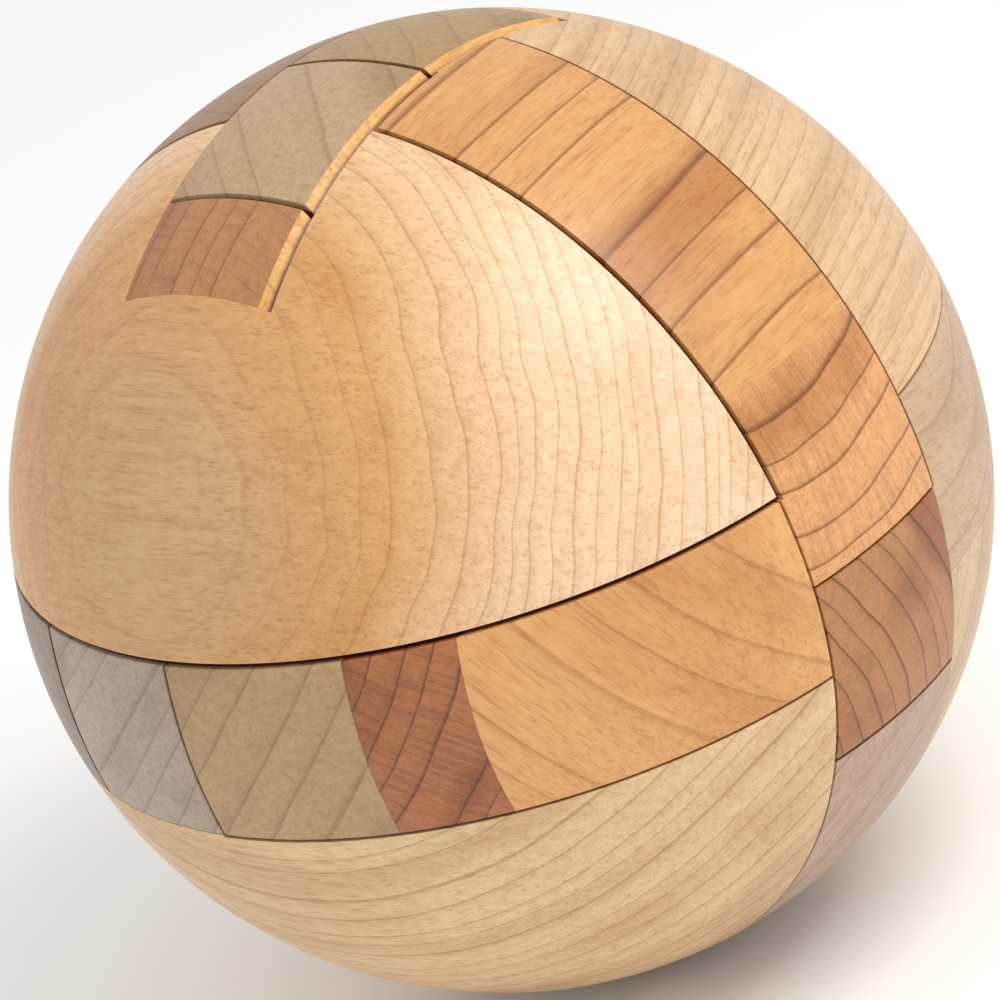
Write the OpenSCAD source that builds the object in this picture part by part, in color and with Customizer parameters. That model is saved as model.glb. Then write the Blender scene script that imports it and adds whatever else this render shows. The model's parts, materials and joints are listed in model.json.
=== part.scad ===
// Ball-shaped burr puzzle: six notched sticks crossing in three pairs, with
// blocks glued round them that round the whole off to a sphere.
// Origin at the centre of the ball. Every boundary between two pieces of wood
// is a plane square to X, Y or Z. +Z is the way the key slides out.

/* [Ball] */
// Diameter of the finished ball
ball_d = 70; // [60:1:90]

/* [Sticks] */
// Width of a square stick; a pair side by side is twice this
stick_w = 14; // [12:0.5:15]

/* [Fillers] */
// Thickness of the dark filler in the key cap
key_filler_t = 7; // [3:0.5:8]
// Thickness of the dark filler beside the right through stick
side_filler_t = 7; // [3:0.5:8]

/* [Fits] */
// Gap between two pieces that slide apart
play = 0.2; // [0.1:0.05:0.4]
// Wider gap in front of, behind and under the key
key_play = 0.4; // [0.2:0.05:0.6]
// Open joint between a stick and a block of its own piece
open_joint = 0.25; // [0.1:0.05:0.5]

/* [Hidden] */
$fn = 96;

ball_r = ball_d / 2;
// Half a stick: the pitch of the notches
h = stick_w / 2;
// Beyond the surface of the ball, whichever way
out = ball_r + stick_w;
// Far face of each filler
key_filler_far = stick_w + key_filler_t;
side_filler_far = stick_w + side_filler_t;

free_fit = [play, play, play];
key_fit = [play, key_play, key_play];

// A box between two opposite corners, grown by clear on every side
module slab(low, high, clear = [0, 0, 0]) {
    translate(low - clear) cube(high - low + 2 * clear);
}

// Wood inside the ball
module rounded() {
    intersection() {
        sphere(r = ball_r);
        children();
    }
}

// ---- Key piece: a plain stick, the front top cap and its filler ----

module key_stick_space(clear) {
    slab([-h, -stick_w, -out], [h, 0, out], clear);
}

module key_cap_space(clear) {
    slab([-out, -out, h], [-h, -h, out], clear);
    slab([h, -out, h], [out, -h, out], clear);
    slab([-out, -out, h], [out, -key_filler_far, out], clear);
}

module key_filler_space(clear) {
    slab([-h, -key_filler_far, h], [h, -stick_w - key_play, out], clear);
}

module key_space(clear) {
    key_stick_space(clear);
    key_cap_space(clear);
    key_filler_space(clear);
}

module key_stick() {
    color("#cfae85") rounded() key_stick_space([0, 0, 0]);
}

module key_cap() {
    color("#e3bd8b") rounded() key_cap_space([0, 0, 0]);
}

module key_filler() {
    color("#b87a55") rounded() key_filler_space([0, 0, 0]);
}

// ---- Right through stick, front to back, with a filler and a block ----

module right_through_stick_space(clear) {
    slab([0, -out, -h], [stick_w, -stick_w, h], clear);
    slab([0, 0, -h], [stick_w, out, h], clear);
    slab([h, -out, -h], [stick_w, -h, h], clear);
    slab([h, -out, 0], [stick_w, out, h], clear);
}

module front_right_filler_space(clear) {
    slab([stick_w, -out, -h], [side_filler_far, -h, h], clear);
}

module front_right_block_space(clear) {
    slab([side_filler_far, -out, -h], [out, -h, h], clear);
}

module right_through_space(clear) {
    right_through_stick_space(clear);
    front_right_filler_space(clear);
    front_right_block_space(clear);
}

module clear_of_key() {
    difference() {
        children();
        key_space(key_fit);
    }
}

module right_through_stick() {
    color("#cda272") rounded() clear_of_key() right_through_stick_space([0, 0, 0]);
}

module front_right_filler() {
    color("#ad6e4b") rounded() clear_of_key() front_right_filler_space([0, 0, 0]);
}

module front_right_block() {
    color("#d9a468") rounded() clear_of_key() front_right_block_space([0, 0, 0]);
}

// ---- Upper cross stick, left to right, with the two blocks on top ----

module upper_cross_stick_space(clear) {
    slab([-out, -h, 0], [-stick_w, h, stick_w], clear);
    slab([stick_w, -h, 0], [out, h, stick_w], clear);
    slab([-out, -h, h], [-h, h, stick_w], clear);
    slab([h, -h, h], [out, h, stick_w], clear);
    slab([-out, 0, h], [out, h, stick_w], clear);
}

module top_left_block_space(clear) {
    slab([-out, -h, stick_w], [-h, h, out], clear);
}

module top_right_block_space(clear) {
    slab([h, -h, stick_w], [out, h, out], clear);
}

module upper_cross_space(clear) {
    upper_cross_stick_space(clear);
    top_left_block_space(clear);
    top_right_block_space(clear);
}

module clear_of_right_through() {
    difference() {
        clear_of_key() children();
        right_through_space(free_fit);
    }
}

module upper_cross_stick() {
    color("#d8ab75") rounded() clear_of_right_through() upper_cross_stick_space([0, 0, 0]);
}

module top_left_block() {
    color("#c08a62") rounded() clear_of_right_through() top_left_block_space([0, 0, 0]);
}

module top_right_block() {
    color("#d49c63") rounded() clear_of_right_through() top_right_block_space([0, 0, 0]);
}

// ---- Upright stick with the back top cap and the back left block ----

module upright_stick_space(clear) {
    slab([-h, 0, -out], [h, stick_w, -h], clear);
    slab([-h, 0, -out], [0, stick_w, h], clear);
    slab([-h, h, -out], [0, stick_w, out], clear);
    slab([-h, h, h], [h, stick_w, out], clear);
    slab([-h, 0, stick_w], [h, stick_w, out], clear);
}

module back_top_cap_space(clear) {
    slab([-out, h, h], [-h, out, out], clear);
    slab([h, h, h], [out, out, out], clear);
    slab([-out, stick_w, h], [out, out, out], clear);
}

module back_left_block_space(clear) {
    slab([-out, h, -h], [-stick_w, out, h], clear);
}

module upright_space(clear) {
    upright_stick_space(clear);
    back_top_cap_space(clear);
    back_left_block_space(clear);
}

module clear_of_upper_cross() {
    difference() {
        clear_of_right_through() children();
        upper_cross_space(free_fit);
    }
}

module upright_stick() {
    color("#dcb483") rounded() clear_of_upper_cross() upright_stick_space([0, 0, 0]);
}

module back_top_cap() {
    color("#e4c393") rounded() clear_of_upper_cross() back_top_cap_space([0, 0, 0]);
}

module back_left_block() {
    color("#d3a878") rounded() clear_of_upper_cross() back_left_block_space([0, 0, 0]);
}

// ---- Left through stick with the front bottom cap and two blocks ----

module left_through_stick_space(clear) {
    slab([-stick_w, -out, -h], [0, -stick_w, h], clear);
    slab([-stick_w, stick_w, -h], [0, out, h], clear);
    slab([-stick_w, -out, -h], [-h, -h, h], clear);
    slab([-stick_w, h, -h], [-h, out, h], clear);
    slab([-stick_w, -out, 0], [-h, out, h], clear);
}

module front_bottom_cap_space(clear) {
    slab([-out, -out, -out], [-h, -h, -h], clear);
    slab([h, -out, -out], [out, -h, -h], clear);
    slab([-out, -out, -out], [out, -stick_w, -h], clear);
}

module front_left_block_space(clear) {
    slab([-out, -out, -h], [-stick_w - open_joint, -h, h], clear);
}

module bottom_left_block_space(clear) {
    slab([-out, -h, -out], [-h, h, -stick_w], clear);
}

module left_through_space(clear) {
    left_through_stick_space(clear);
    front_bottom_cap_space(clear);
    front_left_block_space(clear);
    bottom_left_block_space(clear);
}

module clear_of_upright() {
    difference() {
        clear_of_upper_cross() children();
        upright_space(free_fit);
    }
}

module left_through_stick() {
    color("#c9a57b") rounded() clear_of_upright() left_through_stick_space([0, 0, 0]);
}

module front_bottom_cap() {
    color("#ddbd92") rounded() clear_of_upright() front_bottom_cap_space([0, 0, 0]);
}

module front_left_block() {
    color("#b9926f") rounded() clear_of_upright() front_left_block_space([0, 0, 0]);
}

module bottom_left_block() {
    color("#cfa276") rounded() clear_of_upright() bottom_left_block_space([0, 0, 0]);
}

// ---- Lower cross piece: two stick ends, the back bottom cap, two blocks ----

module lower_cross_left_space(clear) {
    slab([-out, -h, -stick_w], [-h, h, 0], clear);
}

module lower_cross_right_space(clear) {
    slab([stick_w, -h, -stick_w], [out, h, 0], clear);
    slab([h, -h, -stick_w], [out, h, -h], clear);
    slab([h, -h, -stick_w], [out, 0, 0], clear);
}

module back_bottom_cap_space(clear) {
    slab([-out, h, -out], [-h, out, -h], clear);
    slab([h, h, -out], [out, out, -h], clear);
    slab([-out, stick_w, -out], [out, out, -h], clear);
}

module bottom_right_block_space(clear) {
    slab([h, -h, -out], [out, h, -stick_w - open_joint], clear);
}

module back_right_block_space(clear) {
    slab([stick_w, h, -h], [out, out, h], clear);
}

module clear_of_left_through() {
    difference() {
        clear_of_upright() children();
        left_through_space(free_fit);
    }
}

module lower_cross_left() {
    color("#c58f66") rounded() clear_of_left_through() lower_cross_left_space([0, 0, 0]);
}

module lower_cross_right() {
    color("#b67850") rounded() clear_of_left_through() lower_cross_right_space([0, 0, 0]);
}

module back_bottom_cap() {
    color("#dcbf98") rounded() clear_of_left_through() back_bottom_cap_space([0, 0, 0]);
}

module bottom_right_block() {
    color("#cb9470") rounded() clear_of_left_through() bottom_right_block_space([0, 0, 0]);
}

module back_right_block() {
    color("#d7b08a") rounded() clear_of_left_through() back_right_block_space([0, 0, 0]);
}

key_stick();
key_cap();
key_filler();
right_through_stick();
front_right_filler();
front_right_block();
upper_cross_stick();
top_left_block();
top_right_block();
upright_stick();
back_top_cap();
back_left_block();
left_through_stick();
front_bottom_cap();
front_left_block();
bottom_left_block();
lower_cross_left();
lower_cross_right();
back_bottom_cap();
bottom_right_block();
back_right_block();
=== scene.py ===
# The ball-shaped wooden burr puzzle: every block of wood is built from its CAD
# solid, its round face is made truly round, its edges are eased, and it gets
# its own grain.
import json
import math

import bpy
from mathutils import Matrix, Vector


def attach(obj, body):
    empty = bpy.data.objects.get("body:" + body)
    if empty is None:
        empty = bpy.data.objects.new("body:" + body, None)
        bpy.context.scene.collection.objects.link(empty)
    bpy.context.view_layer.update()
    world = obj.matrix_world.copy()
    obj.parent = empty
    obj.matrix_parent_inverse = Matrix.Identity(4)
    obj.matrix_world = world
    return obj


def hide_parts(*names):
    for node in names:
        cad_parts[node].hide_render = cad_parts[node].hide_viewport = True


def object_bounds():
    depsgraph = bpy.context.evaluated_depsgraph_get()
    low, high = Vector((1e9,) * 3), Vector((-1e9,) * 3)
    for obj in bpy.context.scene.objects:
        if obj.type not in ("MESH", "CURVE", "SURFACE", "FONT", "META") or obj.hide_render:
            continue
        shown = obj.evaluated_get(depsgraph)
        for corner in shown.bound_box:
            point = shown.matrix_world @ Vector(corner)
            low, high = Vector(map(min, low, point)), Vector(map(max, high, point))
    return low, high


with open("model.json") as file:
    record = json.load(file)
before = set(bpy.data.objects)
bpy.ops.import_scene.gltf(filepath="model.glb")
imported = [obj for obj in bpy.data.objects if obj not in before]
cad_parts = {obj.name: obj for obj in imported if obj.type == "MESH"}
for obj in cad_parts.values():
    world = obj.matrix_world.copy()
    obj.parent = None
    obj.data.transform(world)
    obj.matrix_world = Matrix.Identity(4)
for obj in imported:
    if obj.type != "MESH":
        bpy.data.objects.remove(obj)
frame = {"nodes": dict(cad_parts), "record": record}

CAD_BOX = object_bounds()
MM = 0.001
CENTRE = (CAD_BOX[0] + CAD_BOX[1]) / 2
BALL_R = CAD_BOX[1].z - CENTRE.z


# ---------------------------------------------------------------- camera

# How far the camera stands, in ball radii, and where from
CAMERA_RADII = 14.75
CAMERA_FROM = Vector((0.672, -0.6175, 0.408)).normalized()
CAMERA_UP = Vector((-0.0717, 0.4945, 0.8662))
# Share of the picture's width that the ball's radius takes
BALL_SHARE = 0.493
# The ball sits this share of the width right of the middle
BALL_RIGHT = 0.00156
SENSOR = 36.0


def make_camera():
    """A long lens, with the whole ball in view and its upright axis leaning to the left."""
    bpy.ops.object.camera_add()
    cam = bpy.context.object
    cam.name = "camera"
    back = CAMERA_FROM
    right = CAMERA_UP.cross(back).normalized()
    up = back.cross(right)
    cam.location = back * CAMERA_RADII * BALL_R
    cam.rotation_mode = "QUATERNION"
    turn = Matrix((right, up, back)).transposed()
    cam.rotation_quaternion = turn.to_quaternion()
    cam.data.sensor_width = SENSOR
    cam.data.lens = SENSOR * BALL_SHARE * math.sqrt(CAMERA_RADII ** 2 - 1)
    cam.data.shift_x = -BALL_RIGHT
    cam.data.clip_start = BALL_R
    cam.data.clip_end = BALL_R * 200
    bpy.context.scene.camera = cam


# ---------------------------------------------------------------- materials

def linear(code):
    """An sRGB hex colour as linear red, green, blue and 1."""
    parts = [int(code[i:i + 2], 16) / 255 for i in (1, 3, 5)]
    flat = [p / 12.92 if p <= 0.04045 else ((p + 0.055) / 1.055) ** 2.4 for p in parts]
    return (*flat, 1.0)


def add(tree, kind, links=None, **settings):
    """A node of that kind; settings go on it or its sockets, links into its inputs."""
    made = tree.nodes.new(kind)
    inputs = settings.pop("inputs", {})
    for key, value in settings.items():
        setattr(made, key, value)
    for key, value in inputs.items():
        made.inputs[key].default_value = value
    for key, source in (links or {}).items():
        tree.links.new(source, made.inputs[key])
    return made


def ramp(tree, source, stops):
    """A colour ramp through (place, linear colour) stops."""
    made = add(tree, "ShaderNodeValToRGB", {"Fac": source})
    band = made.color_ramp
    while len(band.elements) > 1:
        band.elements.remove(band.elements[-1])
    band.elements[0].position = stops[0][0]
    band.elements[0].color = stops[0][1]
    for place, colour in stops[1:]:
        band.elements.new(place).color = colour
    return made.outputs["Color"]


def grey(value):
    """A linear grey; 1 leaves what it is multiplied by as it is."""
    return (value, value, value, 1.0)


def shade(dark, light):
    """What light is multiplied by to give dark."""
    return tuple(min(d / p, 1.0) for d, p in zip(linear(dark), linear(light)))


def grain_turn(rings, grain):
    """Turns the ball's axes so that the rings grow along X and the grain runs along Z."""
    grow = Vector(rings).normalized()
    run = Vector(grain)
    run = (run - run.dot(grow) * grow).normalized()
    side = run.cross(grow)
    return Matrix((grow, side, run)).to_euler()


# Sizes in the wood, in mm. Beech's pores are too fine to show, at under 0.1 mm across, so
# they are drawn about twice as coarse
PORE_W = 0.18
FIBRE_W = 0.6
MOTTLE_W = 0.6
PAINTED_SHADE_ZONE_DEPTH = 25.0
BLOTCH_W = 12.0
WAVER_W = 16.0
# How far apart, in mm, the two ends of a ring's wavering can be for a waver of 1
WAVER = 4
# How many wet or dry spells a ring's width holds, and how many rings they push it by at most
SPELLS_PER_RING = 0.3
SPELL_PUSH = 2.2
# How far each pattern is drawn out along the grain: the smaller, the longer
SLOW_STRETCH = 0.35
FIBRE_STRETCH = 0.05
MOTTLE_STRETCH = 0.5
# Next to the bark, zoned wood shows its rings this faintly, and from this share of the
# zones' depth it shows them in full
FAINT_RINGS = 0.2
FULL_RINGS_AT = 0.4
# Rays that lie side by side in a mm, counted at this share of the ball's radius towards the
# bark from its centre
RAYS_PER_MM = 0.9
RAYS_COUNTED_AT = 0.6
# Dark streaks shine less than pale ones, and the grain stands up a little, in mm
ROUGH_DARK = 0.46
ROUGH_PALE = 0.34
GRAIN_HEIGHT = 0.05
# Oil and dirt, together with painted shade, darken the walls of a joint: how deep that starts,
# how many times as deep it is darkest, and how deep it has partly faded. Twice as deep as that it
# is gone. In mm
GRIME_AND_SHADE_FROM = 0.3
GRIME_AND_SHADE_DARKEST = 1.6
GRIME_AND_SHADE_TO = 1.2


def grime_and_painted_shade(tree, place):
    """Darkens the walls of a joint just under the ball's surface: oil and dirt that stay there,
    and painted shade in the joint.
    """
    reach = add(tree, "ShaderNodeVectorMath", {0: place}, operation="LENGTH").outputs["Value"]
    depth = add(tree, "ShaderNodeMapRange", {"Value": reach}, inputs={
        "From Min": BALL_R, "From Max": BALL_R - 2 * GRIME_AND_SHADE_TO * MM}).outputs["Result"]
    start = GRIME_AND_SHADE_FROM / (2 * GRIME_AND_SHADE_TO)
    return ramp(tree, depth, [(0.0, grey(1.0)), (start, grey(1.0)),
                              (start * GRIME_AND_SHADE_DARKEST, linear("#94673f")),
                              (0.5, linear("#c9a27c")), (1.0, grey(1.0))])


def wood(name, light, mid, dark, rings, grain, spacing, pith=90.0, late=0.55,
         waver=0.5, rays=0.0, fibre=0.22, pores=0.25, mottle=0.3, zones_with_painted_shade=None):
    """Beech, sawn, sanded smooth and oiled. That gives the eye growth rings that run on
    through the block, fine streaks and pores along the grain, and a soft sheen. Sizes in mm.
    rings is the way the rings grow, grain the way the fibres run, pith how far behind
    the ball's centre the heart of the tree lay. zones_with_painted_shade are (depth, colour)
    stops by which the colour changes from the outermost ring inwards: partly the wood's own, and
    partly painted shade on the bark side of the block."""
    mat = bpy.data.materials.new(name)
    mat.use_nodes = True
    tree = mat.node_tree
    tree.nodes.clear()
    place = add(tree, "ShaderNodeTexCoord").outputs["Object"]
    log = add(tree, "ShaderNodeMapping", {"Vector": place}, inputs={
        "Location": (pith, 0.0, 0.0),
        "Rotation": grain_turn(rings, grain),
        "Scale": (1 / MM, 1 / MM, 1 / MM)}).outputs["Vector"]

    def stretched(squeeze):
        """The same place with the pattern drawn out along the grain."""
        return add(tree, "ShaderNodeVectorMath", {0: log}, operation="MULTIPLY",
                   inputs={1: (1.0, 1.0, squeeze)}).outputs["Vector"]

    def noise(vector, width, detail=2.0, rough=0.55):
        """A soft random pattern whose patches are about this wide, in mm."""
        return add(tree, "ShaderNodeTexNoise", {"Vector": vector}, inputs={
            "Scale": 1 / width, "Detail": detail, "Roughness": rough})

    def times(under, over, share):
        """Under multiplied by over; share is how strongly, a number or a socket."""
        made = add(tree, "ShaderNodeMix", {6: under, 7: over}, data_type="RGBA",
                   blend_type="MULTIPLY")
        if isinstance(share, float):
            made.inputs[0].default_value = share
        else:
            tree.links.new(share, made.inputs[0])
        return made.outputs[2]

    # The rings waver a little on their way along the log
    slow = stretched(SLOW_STRETCH)
    centred = add(tree, "ShaderNodeVectorMath", {0: noise(slow, WAVER_W).outputs["Color"]},
                  operation="SUBTRACT", inputs={1: (0.5, 0.5, 0.5)}).outputs["Vector"]
    pushed = add(tree, "ShaderNodeVectorMath", {0: centred, 2: log}, operation="MULTIPLY_ADD",
                 inputs={1: (WAVER * waver, WAVER * waver, 0.0)}).outputs["Vector"]
    across = add(tree, "ShaderNodeVectorMath", {0: pushed}, operation="MULTIPLY",
                 inputs={1: (1.0, 1.0, 0.0)}).outputs["Vector"]
    age = add(tree, "ShaderNodeVectorMath", {0: across}, operation="LENGTH").outputs["Value"]
    # Wet and dry years: the rings are not all the same width or depth of colour
    years = add(tree, "ShaderNodeTexNoise", {"W": age}, noise_dimensions="1D", inputs={
        "Scale": SPELLS_PER_RING / spacing, "Detail": 1.0}).outputs["Fac"]
    count = add(tree, "ShaderNodeMath", {0: age}, operation="MULTIPLY",
                inputs={1: 1 / spacing}).outputs["Value"]
    uneven = add(tree, "ShaderNodeMath", {0: years, 2: count}, operation="MULTIPLY_ADD",
                 inputs={1: SPELL_PUSH}).outputs["Value"]
    ring = add(tree, "ShaderNodeMath", {0: uneven}, operation="FRACT").outputs["Value"]
    year = ramp(tree, ring, [(0.0, grey(1.0)), (0.55, grey(1.0)), (0.88, grey(0.9)),
                             (0.96, shade(dark, light)), (1.0, grey(1.0))])
    broad = add(tree, "ShaderNodeMath", {0: noise(slow, BLOTCH_W, 3.0).outputs["Fac"], 1: years},
                operation="ADD").outputs["Value"]
    tone = ramp(tree, broad, [(0.8, linear(mid)), (1.15, linear(light))])
    # Duller and greyer towards the bark: partly the wood's own colour, and partly painted shade
    # on that side of the block
    if zones_with_painted_shade:
        bark = pith + BALL_R / MM
        inward = add(tree, "ShaderNodeMapRange", {"Value": age}, inputs={
            "From Min": bark, "From Max": bark - PAINTED_SHADE_ZONE_DEPTH}).outputs["Result"]
        stops = [(depth / PAINTED_SHADE_ZONE_DEPTH, linear(colour)) for depth, colour in zones_with_painted_shade]
        tone = times(tone, ramp(tree, inward, stops), 1.0)
        late = add(tree, "ShaderNodeMapRange", {"Value": inward}, inputs={
            "From Max": FULL_RINGS_AT, "To Min": FAINT_RINGS * late,
            "To Max": late}).outputs["Result"]
    base = times(tone, year, late)
    # Fibres and pores are long and thin along the grain, and dots across it
    fine = stretched(FIBRE_STRETCH)
    streak = noise(fine, FIBRE_W, 3.0, 0.6).outputs["Fac"]
    toned = times(base, ramp(tree, streak, [(0.32, linear("#c79a6c")), (0.52, grey(0.97)),
                                            (0.7, grey(1.0))]), fibre)
    pore = noise(fine, PORE_W, 1.0).outputs["Fac"]
    pored = times(toned, ramp(tree, pore, [(0.34, linear("#a8754a")), (0.43, grey(1.0))]), pores)
    flecks = noise(stretched(MOTTLE_STRETCH), MOTTLE_W, 3.0, 0.65).outputs["Fac"]
    colour = times(pored, ramp(tree, flecks, [(0.34, linear("#e2c2a0")), (0.5, linear("#f6ebdf")),
                                              (0.62, grey(1.0))]), mottle)
    if rays:
        # Medullary rays run straight out from the heart and show as cross lines on an end
        parts = add(tree, "ShaderNodeSeparateXYZ", {"Vector": pushed})
        turn = add(tree, "ShaderNodeMath", {0: parts.outputs["Y"], 1: parts.outputs["X"]},
                   operation="ARCTAN2").outputs["Value"]
        arc = add(tree, "ShaderNodeMath", {0: turn}, operation="MULTIPLY",
                  inputs={1: pith + RAYS_COUNTED_AT * BALL_R / MM}).outputs["Value"]
        steps = add(tree, "ShaderNodeMath", {0: uneven}, operation="FLOOR").outputs["Value"]
        fan = add(tree, "ShaderNodeCombineXYZ", {"X": arc, "Y": steps}).outputs["Vector"]
        ray = add(tree, "ShaderNodeTexNoise", {"Vector": fan}, inputs={
            "Scale": RAYS_PER_MM, "Detail": 2.0, "Roughness": 0.6}).outputs["Fac"]
        lines = ramp(tree, ray, [(0.4, grey(1.0)), (0.46, grey(0.5)), (0.5, grey(1.0))])
        colour = times(colour, lines, rays)
    # Oil and dirt, together with painted shade, darken the joint walls just under the surface
    grimed_and_shaded = times(colour, grime_and_painted_shade(tree, place), 1.0)
    rough = add(tree, "ShaderNodeMapRange", {"Value": streak}, inputs={
        "To Min": ROUGH_DARK, "To Max": ROUGH_PALE}).outputs["Result"]
    heights = add(tree, "ShaderNodeMath", {0: streak, 1: pore}, operation="ADD").outputs["Value"]
    bump = add(tree, "ShaderNodeBump", {"Height": heights}, inputs={
        "Strength": 0.15, "Distance": GRAIN_HEIGHT * MM}).outputs["Normal"]
    shader = add(tree, "ShaderNodeBsdfPrincipled",
                 {"Base Color": grimed_and_shaded, "Roughness": rough, "Normal": bump},
                 inputs={"IOR": 1.5, "Specular IOR Level": 0.5})
    add(tree, "ShaderNodeOutputMaterial", {"Surface": shader.outputs["BSDF"]})
    return mat


# What each block is cut from: colours, the way its rings grow and its grain runs. The colours are
# partly the wood's own and partly painted light and shade: the blocks on the ball's dim left are
# greyer and darker
LOOKS = {
    "key_cap": dict(
        light="#eecfae", mid="#e2bf97", dark="#c2935f", rings=(-0.04, -0.85, 0.53),
        grain=(1, 0, 0), spacing=1.2, pith=400, late=0.75, waver=0.8,
        # Duller and greyer towards the bark: partly the wood's own colour, and partly painted
        # shade on that side of the block
        zones_with_painted_shade=((0.0, "#d6cbb0"), (1.3, "#d8c6a4"), (2.6, "#dcc096"), (5.0, "#e6c99c"),
               (8.0, "#f2e4cb"), (12.0, "#fffaf2"), (25.0, "#ffffff"))),
    "key_stick": dict(
        light="#b59975", mid="#a48661", dark="#856644", rings=(0.67, 0.74, 0.1),
        grain=(0, 0, 1), spacing=3.8, pith=200, late=0.5, waver=0.25),
    "key_filler": dict(
        light="#b57e50", mid="#9e693d", dark="#8a5933", rings=(1, 0.05, 0.1),
        grain=(0, 0.3, 1), spacing=2.8, pith=120, late=1.0, rays=0.3, waver=0.3),
    "right_through_stick": dict(
        light="#b4946c", mid="#a08160", dark="#836344", rings=(0.7, 0, -0.7),
        grain=(0, 1, 0), spacing=3.6, pith=70, late=0.6, waver=0.35),
    "front_right_filler": dict(
        light="#ad6c40", mid="#925430", dark="#6c3a1e", rings=(0.67, 0.37, -0.65),
        grain=(-0.4, 0.9, 0.1), spacing=2.3, pith=50, late=1.0, rays=0.6),
    "front_right_block": dict(
        light="#dda568", mid="#c58a4e", dark="#ae6f38", rings=(0.63, 0.55, 0.55),
        grain=(0.4, 0.3, -0.8), spacing=3.4, pith=80, late=0.6, waver=0.35),
    "upper_cross_stick": dict(
        light="#dda169", mid="#bd8049", dark="#8f5226", rings=(0, 0.05, -1),
        grain=(1, 0, 0), spacing=3.0, pith=45, late=1.0, rays=0.4, waver=0.7),
    "top_left_block": dict(
        light="#9a7450", mid="#866646", dark="#735539", rings=(0, 1, 0.4),
        grain=(1, 0, 0), spacing=2.4, pith=30),
    "top_right_block": dict(
        light="#d39c60", mid="#b97c42", dark="#8c5224", rings=(0.5, 0.08, -0.86),
        grain=(0, 1, 0), spacing=3.9, pith=110, late=0.9, waver=0.8),
    "upright_stick": dict(
        light="#a88756", mid="#947244", dark="#7c6240", rings=(0.7, 0.7, 0.1),
        grain=(0, 0, 1), spacing=2.4, pith=30),
    "back_top_cap": dict(
        light="#d8b488", mid="#c8a275", dark="#b08a5c", rings=(0.48, 0.22, -0.85),
        grain=(0.4, -0.9, 0), spacing=1.4, pith=200, late=0.7, waver=0.3),
    "back_left_block": dict(
        light="#c4a582", mid="#b5936c", dark="#947350", rings=(0.3, 0.6, 0.7),
        grain=(1, 0.2, 0), spacing=2.6, pith=40),
    "left_through_stick": dict(
        light="#aa9a89", mid="#978674", dark="#776350", rings=(0.7, 0, -0.7),
        grain=(0, 1, 0), spacing=2.4, pith=70, late=0.6, waver=0.35),
    "front_bottom_cap": dict(
        light="#dfc093", mid="#ceab7e", dark="#ae8252", rings=(0.1, -0.35, 0.93),
        grain=(1, 0, 0.2), spacing=1.9, pith=70, late=0.75),
    "front_left_block": dict(
        light="#927e6c", mid="#816f60", dark="#645345", rings=(1, 0, 0.2),
        grain=(0, 1, 0), spacing=2.0, pith=30),
    "bottom_left_block": dict(
        light="#c9a27a", mid="#ba8f64", dark="#966b40", rings=(0.6, 0.2, 0.7),
        grain=(0, 1, 0), spacing=2.7, pith=30),
    "lower_cross_left": dict(
        light="#b08563", mid="#a17250", dark="#7e5234", rings=(0, 0.6, 0.8),
        grain=(1, 0, 0), spacing=1.9, pith=25, late=0.7),
    "lower_cross_right": dict(
        light="#b27b4c", mid="#965b30", dark="#66371c", rings=(0, 0.87, 0.48),
        grain=(1, 0, 0), spacing=1.7, pith=60, late=1.0),
    "back_bottom_cap": dict(
        light="#d2b68f", mid="#c2a27c", dark="#a2805a", rings=(-0.2, 0.8, -0.55),
        grain=(1, 0, 0), spacing=2.4, pith=80),
    "bottom_right_block": dict(
        light="#b89d89", mid="#aa8a74", dark="#8c6a54", rings=(0.3, 0.6, -0.7),
        grain=(0.6, 0, 1), spacing=2.2, pith=40),
    "back_right_block": dict(
        light="#c3a382", mid="#b79472", dark="#9c7856", rings=(0.5, 0.3, 0.8),
        grain=(0, 1, 0), spacing=2.2, pith=40),
}


# Beech on the planed edge, which has had less oil and handling: a clear golden yellow, partly its
# own colour and partly a painted highlight on the edge that faces the light
BARE_WITH_PAINTED_HIGHLIGHT = dict(light="#e2ad62", mid="#d99f50", dark="#bd823c", rings=(1, 0.2, 0.3),
            grain=(0, 1, 0), spacing=2.4)


# ---------------------------------------------------------------- blocks of wood

# Round faces point this nearly straight out, with every corner this close to the surface
ROUND_FACING = 0.9
ROUND_DEPTH = 0.1 * MM
# Cuts that make the round faces fine enough to be truly round
ROUND_CUTS = 2
# How far sandpaper has eased the edges, at most: small faces beside an edge limit it
EASED = 0.22 * MM
# Points this close together are one point
SAME_POINT = 0.002 * MM
# Faces this nearly in one plane are one face, and edges sharper than this are real ones
ONE_PLANE = math.radians(0.5)
SHARP = math.radians(40)


def only(obj):
    """Leaves obj as the one object that is selected and active."""
    bpy.ops.object.select_all(action="DESELECT")
    obj.select_set(True)
    bpy.context.view_layer.objects.active = obj


def is_round(obj, face):
    """Whether a face is part of the ball's surface, and not a flat one further in."""
    lowest = min(obj.data.vertices[i].co.length for i in face.vertices)
    facing = face.normal.dot(face.center.normalized())
    return lowest > BALL_R - ROUND_DEPTH and facing > ROUND_FACING


# The edge of the upright sticks along the top, on the right, is planed off:
# this far across the top and this far down the side
CHAMFER_TOP = 1.1 * MM
CHAMFER_SIDE = 0.9 * MM
CHAMFERED = ("key_stick", "key_filler", "upright_stick")
# The cutter reaches this far past the wood and over this much of the ball
CUTTER_PAST = 1.5 * MM
CUTTER_ARC = math.radians(130)
CUTTER_STEPS = 160


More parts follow.
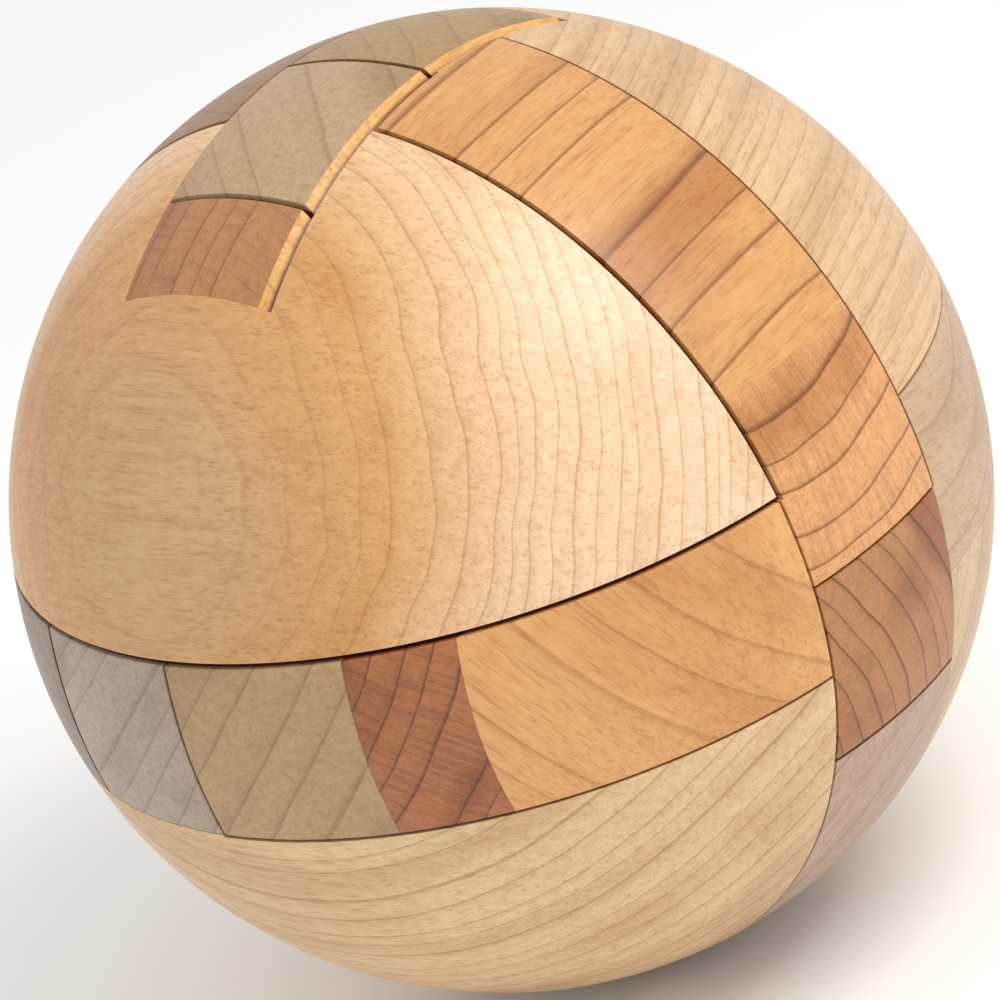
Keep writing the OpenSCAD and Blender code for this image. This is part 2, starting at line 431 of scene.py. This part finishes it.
def plane_edge(obj, bare_with_painted_highlight):
    """Planes off the edge between the round top of a stick and its right side."""
    side = max(v.co.x for v in obj.data.vertices)
    rim = math.sqrt(BALL_R ** 2 - side ** 2)
    top = Vector((side - CHAMFER_TOP, 0, math.sqrt(BALL_R ** 2 - (side - CHAMFER_TOP) ** 2)))
    low = Vector((side, 0, rim - CHAMFER_SIDE))
    past = (top - low).normalized() * CUTTER_PAST
    corner = Vector((side + CUTTER_PAST, 0, rim + CUTTER_PAST))
    turn = Matrix.Rotation(CUTTER_ARC / 2, 3, "X")
    profile = [turn @ p for p in (top + past, low - past, corner)]
    bpy.ops.mesh.primitive_circle_add(vertices=3, radius=MM, fill_type="NGON")
    cutter = bpy.context.object
    for vertex, point in zip(cutter.data.vertices, profile):
        vertex.co = point
    bpy.ops.object.mode_set(mode="EDIT")
    bpy.ops.mesh.select_all(action="SELECT")
    bpy.ops.mesh.spin(steps=CUTTER_STEPS, angle=CUTTER_ARC, center=(0, 0, 0), axis=(1, 0, 0))
    bpy.ops.mesh.select_all(action="SELECT")
    bpy.ops.mesh.normals_make_consistent(inside=False)
    bpy.ops.object.mode_set(mode="OBJECT")
    cutter.data.materials.append(bare_with_painted_highlight)
    only(obj)
    cut = obj.modifiers.new("planed", "BOOLEAN")
    cut.operation = "DIFFERENCE"
    cut.solver = "MANIFOLD"
    cut.material_mode = "TRANSFER"
    cut.object = cutter
    bpy.ops.object.modifier_apply(modifier=cut.name)
    bpy.data.objects.remove(cutter)


def round_off(obj):
    """Cuts the round faces finer and brings their points out to the ball's radius."""
    mesh = obj.data
    bpy.ops.object.mode_set(mode="EDIT")
    bpy.ops.mesh.select_mode(type="FACE")
    bpy.ops.mesh.select_all(action="DESELECT")
    bpy.ops.object.mode_set(mode="OBJECT")
    for face in mesh.polygons:
        face.select = is_round(obj, face)
    bpy.ops.object.mode_set(mode="EDIT")
    bpy.ops.mesh.subdivide(number_cuts=ROUND_CUTS)
    bpy.ops.object.mode_set(mode="OBJECT")
    for face in mesh.polygons:
        if is_round(obj, face):
            for corner in face.vertices:
                point = mesh.vertices[corner].co
                mesh.vertices[corner].co = point.normalized() * BALL_R


def ease_edges(obj):
    """Rounds the sharp edges a little, and keeps the flat faces looking flat."""
    bevel = obj.modifiers.new("eased", "BEVEL")
    bevel.width = EASED
    bevel.segments = 2
    bevel.limit_method = "ANGLE"
    bevel.angle_limit = SHARP
    bpy.ops.object.modifier_apply(modifier=bevel.name)
    bpy.ops.object.shade_smooth_by_angle(angle=SHARP)
    weights = obj.modifiers.new("flat_faces", "WEIGHTED_NORMAL")
    weights.keep_sharp = True
    bpy.ops.object.modifier_apply(modifier=weights.name)


def timber(node, body):
    """One block of wood, shaped from its CAD solid."""
    cad = frame["nodes"][node]
    obj = bpy.data.objects.new(node + "_wood", cad.data.copy())
    bpy.context.scene.collection.objects.link(obj)
    only(obj)
    bpy.ops.object.mode_set(mode="EDIT")
    bpy.ops.mesh.select_all(action="SELECT")
    bpy.ops.mesh.remove_doubles(threshold=SAME_POINT)
    bpy.ops.mesh.dissolve_limited(angle_limit=ONE_PLANE)
    bpy.ops.object.mode_set(mode="OBJECT")
    obj.data.materials.clear()
    obj.data.materials.append(wood("oiled_beech_" + node, **LOOKS[node]))
    round_off(obj)
    if node in CHAMFERED:
        # The planed edge gets the paler wood, which is partly a painted highlight
        plane_edge(obj, wood("planed_beech_" + node, **BARE_WITH_PAINTED_HIGHLIGHT))
    ease_edges(obj)
    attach(obj, body)
    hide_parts(node)
    return obj


# ---------------------------------------------------------------- studio

# In metres, so that the floor runs far past the edges of the picture
FLOOR_SIDE = 60.0
ROOM_LIGHT = 0.82


def make_floor():
    """A plain, nearly white floor under the ball."""
    bpy.ops.mesh.primitive_plane_add(size=FLOOR_SIDE, location=(0, 0, CAD_BOX[0].z))
    floor = bpy.context.object
    floor.name = "studio_floor"
    mat = bpy.data.materials.new("studio_floor_paint")
    mat.use_nodes = True
    shader = mat.node_tree.nodes["Principled BSDF"]
    shader.inputs["Base Color"].default_value = linear("#fcfcfb")
    shader.inputs["Roughness"].default_value = 0.9
    floor.data.materials.append(mat)


def soft_box(name, across, up, towards, side, watts):
    """A square soft light that faces the ball. Its place, by the camera's right, up and back,
    and its side are in ball radii."""
    back = CAMERA_FROM
    right = CAMERA_UP.cross(back).normalized()
    place = right * across + back.cross(right) * up + back * towards
    bpy.ops.object.light_add(type="AREA", location=place * BALL_R)
    lamp = bpy.context.object
    lamp.name = name
    lamp.data.size = side * BALL_R
    lamp.data.energy = watts
    lamp.rotation_mode = "QUATERNION"
    lamp.rotation_quaternion = place.to_track_quat("Z", "Y")


def make_studio():
    """A pale room, with a large soft light above, on the camera's side, and a weak one at
    the left."""
    make_floor()
    world = bpy.data.worlds.new("pale_room")
    world.use_nodes = True
    world.node_tree.nodes["Background"].inputs["Color"].default_value = linear("#ffffff")
    world.node_tree.nodes["Background"].inputs["Strength"].default_value = ROOM_LIGHT
    bpy.context.scene.world = world
    bpy.context.scene.view_settings.view_transform = "Standard"
    soft_box("key_light", 2.5, 6.5, 6.0, 4.5, 0.55)
    soft_box("left_fill", -7.0, -1.0, 3.0, 5.0, 0.04)


make_camera()
make_studio()
for body_name, body_nodes in frame["record"]["behaviour"]["bodies"].items():
    for node_name in body_nodes:
        timber(node_name, body_name)
